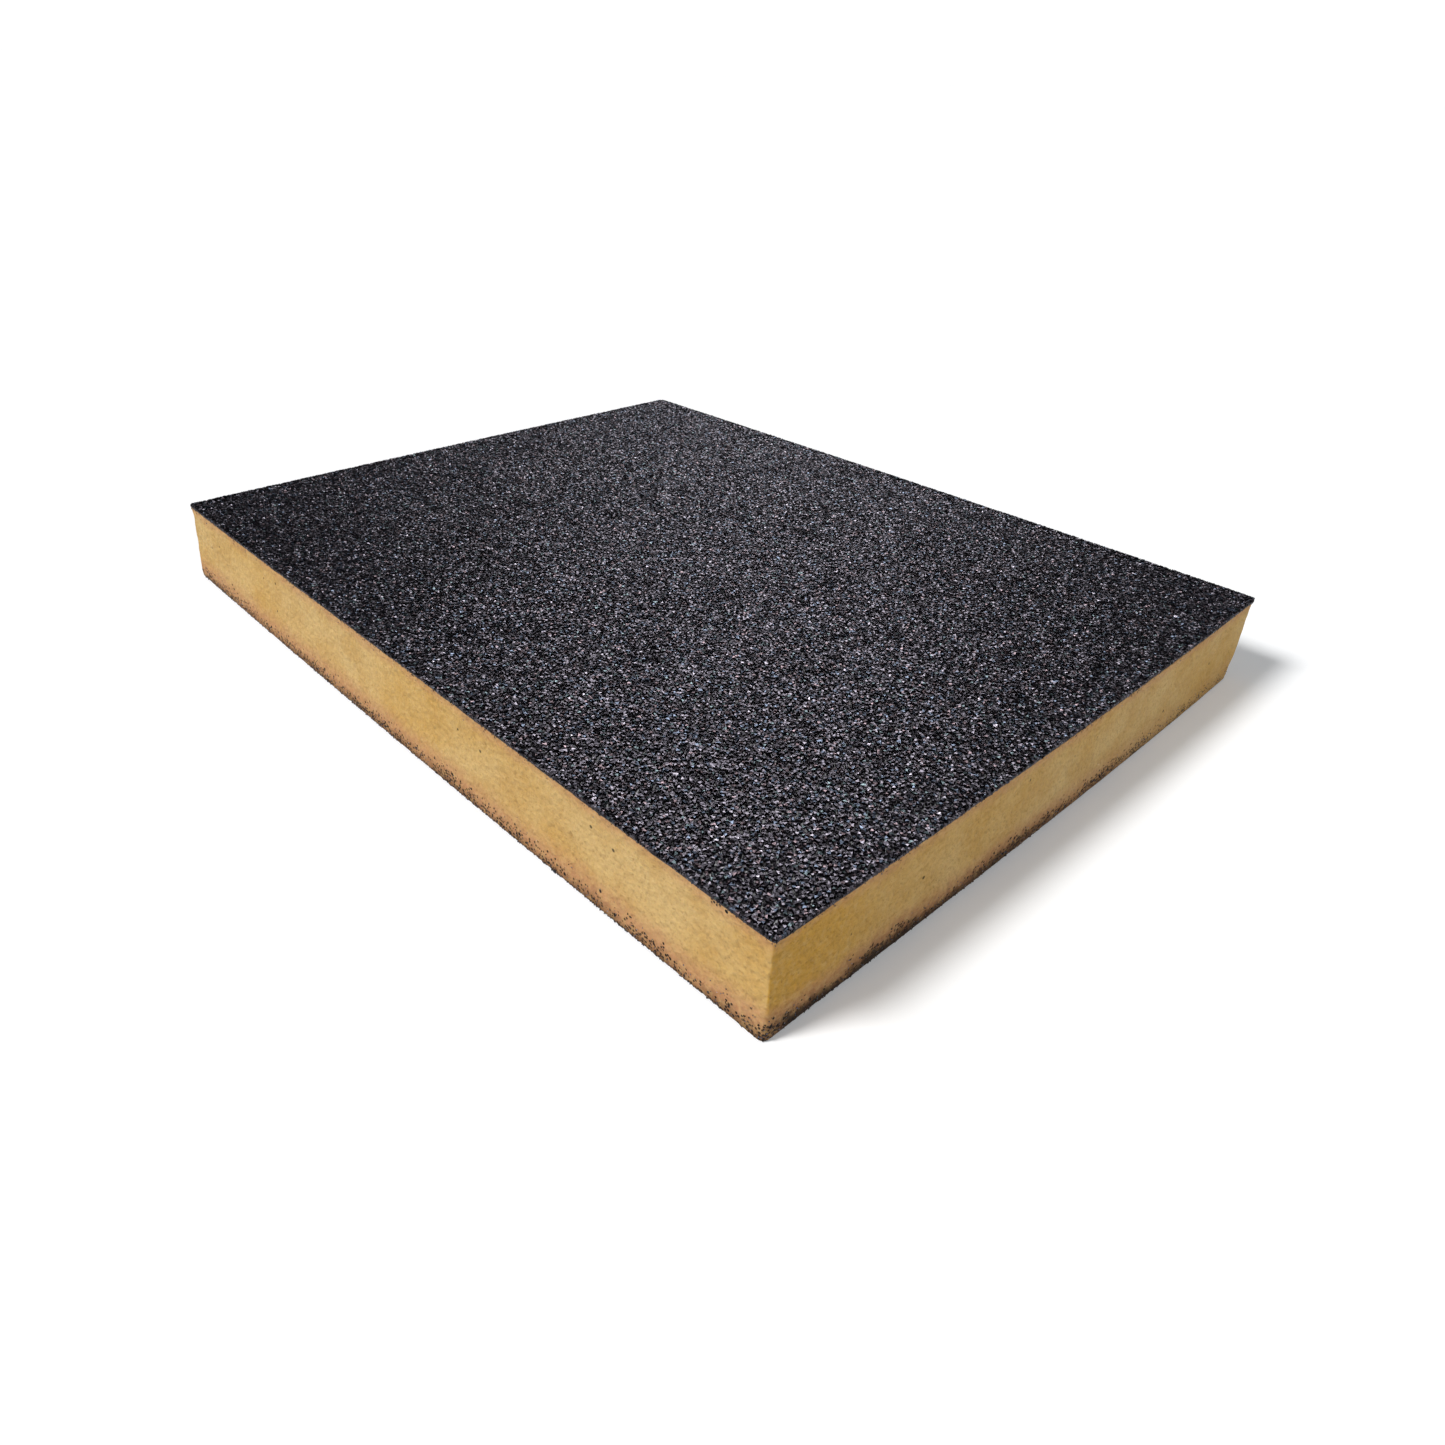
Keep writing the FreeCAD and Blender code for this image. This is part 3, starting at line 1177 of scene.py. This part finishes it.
@dataclass
class GritLayer:
    """One closed coat of abrasive grains.

    Attributes:
        face: the face that the grains are on.
        outline: the plan that they fill.
        middle: the height of the block's mid plane.
        bed: the distance from the mid plane at which the grains' feet stand.
        reach: the distance from the mid plane that no grain passes.
        material: their finish.
        seed: what picks the places, shapes and tints.
        burr: how far from the outline, in or out, the knife left the corners of the grains that it cut.
        uneven: how far a grain's top may fall short of the reach.
        pitch: the mean distance between neighbours.
        strips: how many pieces the coat is made in, side by side along X.
        grains: the kind of grain.
    """

    face: Face
    outline: Outline
    middle: float
    bed: float
    reach: float
    material: bpy.types.Material
    seed: int
    burr: float = 0.09 * MM
    uneven: float = 0.09 * MM
    pitch: float = 0.39 * MM
    strips: int = 4
    grains: Grains = Grains()

    def places(self, random: np.random.Generator) -> Array:
        """Scatter the grains' middles.

        A staggered grid, each point moved by up to a third of the pitch, and one closer row of grains
        just inside the outline.

        Args:
            random: the layer's random numbers.

        Returns:
            X and Y of every grain inside the outline, of shape (count, 2).
        """
        rise = self.pitch * math.sqrt(3) / 2
        columns = int(2 * self.outline.half_length / self.pitch) + 6
        rows = int(2 * self.outline.half_width / rise) + 6
        i, j = np.meshgrid(np.arange(columns), np.arange(rows), indexing="ij")
        x = (i - columns / 2 + 0.5 * (j % 2)) * self.pitch
        y = (j - rows / 2) * rise
        spots = np.stack([x, y], axis=-1).reshape(-1, 2)
        spots += random.uniform(-0.36, 0.36, spots.shape) * self.pitch
        close = 0.8 * self.pitch
        ring, normals = self.outline.around(self.outline.side_counts(close), 4)
        ring = ring - normals * (0.35 + random.uniform(-0.15, 0.15, (len(ring), 1))) * self.pitch
        return np.concatenate([spots[self.outline.depth(spots) > 0.4 * self.pitch], ring])

    def seated(self, spots: Array, random: np.random.Generator) -> Array:
        """Stand a grain on each spot, stretched upright from the bed to its own height under the reach.

        The tops are most even at the outline, where the knife pressed them down.

        Args:
            spots: X and Y of the grains.
            random: the layer's random numbers.

        Returns:
            Corners, of shape (count, 6, 3).
        """
        corners = self.grains.crystals(random, len(spots))
        past = random.uniform(-self.burr, self.burr, corners.shape[:2])
        corners[:, :, :2] = self.outline.trim(corners[:, :, :2] + spots[:, None], past)
        foot = corners[:, :, 2].min(axis=1, keepdims=True)
        tall = corners[:, :, 2].max(axis=1, keepdims=True) - foot
        calm = 0.35 + 0.65 * np.clip(self.outline.depth(spots)[:, None] / (2 * self.pitch), 0, 1)
        height = self.reach - self.bed - self.uneven * calm * random.random((len(spots), 1)) ** 1.5
        level = self.bed + (corners[:, :, 2] - foot) / tall * height
        corners[:, :, 2] = self.middle + self.face.value * level
        return corners

    def make(self) -> list[bpy.types.Object]:
        """Returns:
            The pieces that stand for this face's CAD grit layer.
        """
        random = np.random.default_rng(self.seed)
        spots = self.places(random)
        corners = self.seated(spots, random)
        colours = self.grains.colours(random, len(spots))
        # Painted shade: grains within about a pitch of the outline are darkened, dimming the light that their
        # cut facets mirror at the edge.
        rim = np.clip(self.outline.depth(spots)[:, None] / (1.3 * self.pitch), 0, 1)
        colours[:, :3] *= 0.25 + 0.75 * rim
        share = (spots[:, 0] / self.outline.half_length + 1) / 2
        strip = np.clip((share * self.strips).astype(int), 0, self.strips - 1)
        pieces = []
        for number in range(self.strips):
            chosen = strip == number
            name = f"{self.face.prefix}_grit_{number + 1}"
            flip = self.face is Face.LOWER
            piece = self.grains.build(name, corners[chosen], colours[chosen], self.material, flip)
            pieces.append(settle(piece, "grit", f"{self.face.prefix}_grit_layer"))
        return pieces


@dataclass
class StrayGrit:
    """Loose grains that the knife dragged onto the foam's sides, thickest by the lower edge.

    Attributes:
        core: the foam that they are stuck to.
        material: their finish.
        count: how many there are.
        seed: what picks their places and shapes.
        grains: the kind of grain, smaller than the coats' and turned any way up.
    """

    core: FoamCore
    material: bpy.types.Material
    count: int = 1700
    seed: int = 300
    grains: Grains = Grains(radius=0.085 * MM, tilt=math.radians(60))

    def make(self) -> bpy.types.Object:
        """Returns:
            The piece, which stands for part of the lower grit layer.
        """
        random = np.random.default_rng(self.seed)
        spots, normals = self.core.stray_spots(random, self.count)
        corners = self.grains.crystals(random, self.count)
        corners += (spots + normals * random.uniform(-0.05, 0.02, (self.count, 1)) * MM)[:, None]
        colours = self.grains.colours(random, self.count)
        piece = self.grains.build("stray_grit", corners, colours, self.material)
        return settle(piece, "grit", "lower_grit_layer")


@dataclass
class SandingBlock:
    """The whole block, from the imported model's boxes.

    Attributes:
        upper_radii: the upper sheet's corner radii.
        lower_radii: the lower sheet's, where one corner has been worn round.
        upper_bows: how far the middle of each side of the upper sheet stands out.
        lower_bows: the same for the lower sheet.
        film_edge: how far the resin films stop short of the grains' outline.
        tuck: how far the lower coat stops short of the CAD outline.
        film_gap: the gap between the two films of a face.
        size_film: how thick the size coat lies between the grains.
        sunk: how far above the foam the grains' feet stand, in the make coat.
    """

    upper_radii: tuple[float, float, float, float] = (0.5 * MM, 0.9 * MM, 0.8 * MM, 1.0 * MM)
    lower_radii: tuple[float, float, float, float] = (0.8 * MM, 2.9 * MM, 1.5 * MM, 0.9 * MM)
    upper_bows: tuple[float, float, float, float] = (0.52 * MM, 0.50 * MM, 0.30 * MM, 0.10 * MM)
    lower_bows: tuple[float, float, float, float] = (0.44 * MM, 0.50 * MM, 0.30 * MM, 0.36 * MM)
    film_edge: float = 0.06 * MM
    tuck: float = 0.10 * MM
    film_gap: float = 0.005 * MM
    size_film: float = 0.05 * MM
    sunk: float = 0.02 * MM

    def outline(self, face: Face, inset: float = 0.0) -> Outline:
        """The CAD plan with the corners and bows of one face's sheet.

        Args:
            face: which face.
            inset: how far it is drawn in all round.

        Returns:
            The sheet's plan.
        """
        low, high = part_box("upper_make_coat")
        size = (high - low) / 2
        radii, bows = {
            Face.UPPER: (self.upper_radii, self.upper_bows),
            Face.LOWER: (self.lower_radii, self.lower_bows),
        }[face]
        return Outline(size.x - inset, size.y - inset, radii, bows)

    def coat(self, face: Face, middle: float, materials: dict[str, bpy.types.Material]) -> None:
        """Build one broad face's make coat, size coat and grains.

        Args:
            face: which face.
            middle: the height of the block's mid plane.
            materials: the finishes by slot.
        """
        seed, tuck = (100, 0.0) if face is Face.UPPER else (200, self.tuck)
        films = self.outline(face, tuck + self.film_edge)
        inner, outer = sorted(abs(corner.z - middle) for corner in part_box(f"{face.prefix}_make_coat"))
        size_inner = outer + self.film_gap
        layers = (
            ("make_coat", "make_resin", inner, outer, 0.01 * MM, seed),
            ("size_coat", "size_resin", size_inner, size_inner + self.size_film, 0.02 * MM, seed + 10),
        )
        for node, slot, low, high, wave, number in layers:
            film = ResinFilm(face, node, slot, films, middle, low, high, materials[slot], wave, number)
            film.make()
        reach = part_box("upper_size_coat")[1].z - middle
        bed = inner + self.sunk
        GritLayer(face, self.outline(face, tuck), middle, bed, reach, materials["grit"], seed + 20).make()

    def make(self) -> None:
        """Build every layer, from the foam outwards on both faces."""
        foam_low, foam_high = (corner.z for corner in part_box("foam_core"))
        foot, crown = self.outline(Face.LOWER), self.outline(Face.UPPER)
        finish = FoamFinish(foam_low, foam_high, crown.half_width)
        core = FoamCore(foot, crown, foam_low, foam_high, finish)
        core.make()
        materials = {
            "make_resin": ResinFinish(
                "make_resin", (0.022, 0.016, 0.014), (0.045, 0.030, 0.020), 0.75, 0.5
            ).build(),
            "size_resin": ResinFinish(
                "size_resin", (0.010, 0.009, 0.011), (0.020, 0.017, 0.019), 0.5, 0.3
            ).build(),
            "grit": GritFinish().build(),
        }
        for face in Face:
            self.coat(face, (foam_low + foam_high) / 2, materials)
        StrayGrit(core, materials["grit"]).make()


# ---------------------------------------------------------------------------------------------------
# The studio


@dataclass(frozen=True)
class SoftBox:
    """A patch of soft light far away, brightest in its middle.

    Attributes:
        towards: the direction that it is in.
        inner: the angle from its middle within which it is full.
        outer: the angle at which it has faded out.
        strength: how much it adds to the world there.
    """

    towards: Vector
    inner: float
    outer: float
    strength: float

    def glow(self, tree: ShaderTree, direction: Value) -> Value:
        """What it adds in a direction."""
        share = tree.facing(direction, self.towards).rise(math.cos(self.outer), math.cos(self.inner))
        return share * self.strength


@dataclass
class Studio:
    """A white floor, soft light from the front left and a close wide camera by the near corner.

    Attributes:
        stand_off: the camera's place from the block's upper near corner, +X -Y.
        aim_off: the point that it looks at, from the same corner.
        roll: how far it is turned about its own line of sight.
        lens: its focal length, in millimetres on a 36 mm sensor.
        shift: its sensor's shift, in sensor widths.
        sun_from: the direction that the key light comes from.
        sun_angle: how wide the key light looks, which softens its shadow.
        sun_power: its strength.
        side_from: the direction that the soft side light comes from.
        side_angle: how wide it looks.
        side_power: its strength.
        side_colour: its colour.
        top_angle: how wide the soft light from overhead looks.
        top_power: its strength.
        top_colour: its colour.
        world_colour: the world's colour.
        ring: the world's strength away from the soft boxes.
        backdrop: its strength where the camera sees it directly, behind the block.
        boxes: the soft boxes, which the facets of the grit mirror.
    """

    stand_off: Vector = field(default_factory=lambda: Vector((37.08, -48.87, 59.89)) * MM)
    aim_off: Vector = field(default_factory=lambda: Vector((-40.25, 25.03, 0.0)) * MM)
    roll: float = math.radians(2.20)
    lens: float = 25.82
    shift: tuple[float, float] = (0.0409, -0.0492)
    sun_from: Vector = field(default_factory=lambda: Vector((-7.5, -17.5, 18.5)))
    sun_angle: float = math.radians(16)
    sun_power: float = 3.4
    side_from: Vector = field(default_factory=lambda: Vector((1.0, -0.35, 0.25)))
    side_angle: float = math.radians(60)
    side_power: float = 1.38
    side_colour: Colour = (0.95, 0.975, 1.0)
    top_angle: float = math.radians(150)
    top_power: float = 0.50
    top_colour: Colour = (0.86, 0.93, 1.0)
    world_colour: Colour = (0.97, 0.98, 1.0)
    ring: float = 0.035
    backdrop: float = 1.08
    boxes: tuple[SoftBox, ...] = (
        SoftBox(Vector((-0.94, 1.07, 1.36)), math.radians(2), math.radians(14), 7.0),
        SoftBox(Vector((-0.94, 1.07, 1.20)), math.radians(9), math.radians(25), 1.05),
        SoftBox(Vector((-0.4, -1.0, 0.75)), math.radians(8), math.radians(18), 0.25),
    )

    def floor(self) -> bpy.types.Object:
        """Lay the floor: a round sheet that reaches far past the block."""
        turn = np.linspace(0.0, 2 * math.pi, 96, endpoint=False)
        radii = np.array([0.25, 0.8, 2.5, 8.0, 30.0])[:, None]
        rings = np.stack([radii * np.cos(turn), radii * np.sin(turn), 0.0 * radii * turn], axis=-1)
        surface = Surface()
        numbers = surface.add_points(rings)
        middle = surface.add_points(np.zeros((1, 3)))
        surface.add_fan(numbers[0], int(middle[0]))
        surface.add_quads(numbers, wrap=True)
        piece = surface.build("studio_floor", FloorFinish().build(), smooth=False)
        return piece

    def lamp(
        self, name: str, towards: Vector, angle: float, power: float, colour: Colour = (1.0, 1.0, 1.0)
    ) -> None:
        """Hang one far lamp that reflections leave out: the soft boxes stand for it there.

        Args:
            name: the lamp's name.
            towards: the direction that it is in.
            angle: how wide it looks.
            power: its strength.
            colour: its colour.
        """
        data = bpy.data.lights.new(name, "SUN")
        data.color = colour
        data.energy = power
        data.angle = angle
        lamp = bpy.data.objects.new(name, data)
        lamp.visible_glossy = False
        lamp.rotation_euler = towards.to_track_quat("Z", "Y").to_euler()
        bpy.context.scene.collection.objects.link(lamp)

    def lights(self) -> None:
        """Hang the three lamps, which reflections leave out, and make the world.

        The world is dim. It is white where the camera sees it, and reflections find the soft boxes in it.
        """
        self.lamp("key", self.sun_from, self.sun_angle, self.sun_power)
        self.lamp("side", self.side_from, self.side_angle, self.side_power, self.side_colour)
        self.lamp("top", Vector((0.0, 0.0, 1.0)), self.top_angle, self.top_power, self.top_colour)

        world = bpy.data.worlds.new("studio")
        bpy.context.scene.world = world
        tree = ShaderTree(world)
        direction = Value(tree, tree.add("ShaderNodeTexCoord").outputs["Generated"])
        path = tree.add("ShaderNodeLightPath")
        mirrored, seen = (Value(tree, path.outputs[name]) for name in ("Is Glossy Ray", "Is Camera Ray"))
        first, *others = self.boxes
        glow = first.glow(tree, direction)
        for box in others:
            glow = glow + box.glow(tree, direction)
        strength = self.ring + mirrored * glow + seen * (self.backdrop - self.ring)
        background = tree.add(
            "ShaderNodeBackground", None, {"Color": (*self.world_colour, 1.0), "Strength": strength}
        )
        output = tree.add("ShaderNodeOutputWorld")
        tree.links.new(background.outputs["Background"], output.inputs["Surface"])

    def camera(self, corner: Vector) -> None:
        """Set up the camera by the block's upper near corner.

        Args:
            corner: that corner's place.
        """
        data = bpy.data.cameras.new("camera")
        data.lens = self.lens
        data.sensor_width = 36.0
        data.shift_x, data.shift_y = self.shift
        data.clip_start = 1 * MM
        data.clip_end = 100.0
        camera = bpy.data.objects.new("camera", data)
        place = corner + self.stand_off
        sight = corner + self.aim_off - place
        turn = sight.to_track_quat("-Z", "Y").to_matrix() @ Matrix.Rotation(self.roll, 3, "Z")
        camera.matrix_world = Matrix.Translation(place) @ turn.to_4x4()
        bpy.context.scene.collection.objects.link(camera)
        bpy.context.scene.camera = camera

    def make(self) -> None:
        """Set up the whole studio."""
        low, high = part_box("upper_size_coat")
        self.camera(Vector((high.x, low.y, high.z)))
        self.lights()
        self.floor()
        bpy.context.scene.view_settings.view_transform = "Standard"


def main() -> None:
    """Build the studio and the block."""
    logging.basicConfig(level=logging.INFO, format="%(name)s: %(message)s")
    Studio().make()
    SandingBlock().make()


if __name__ == "__main__":
    main()
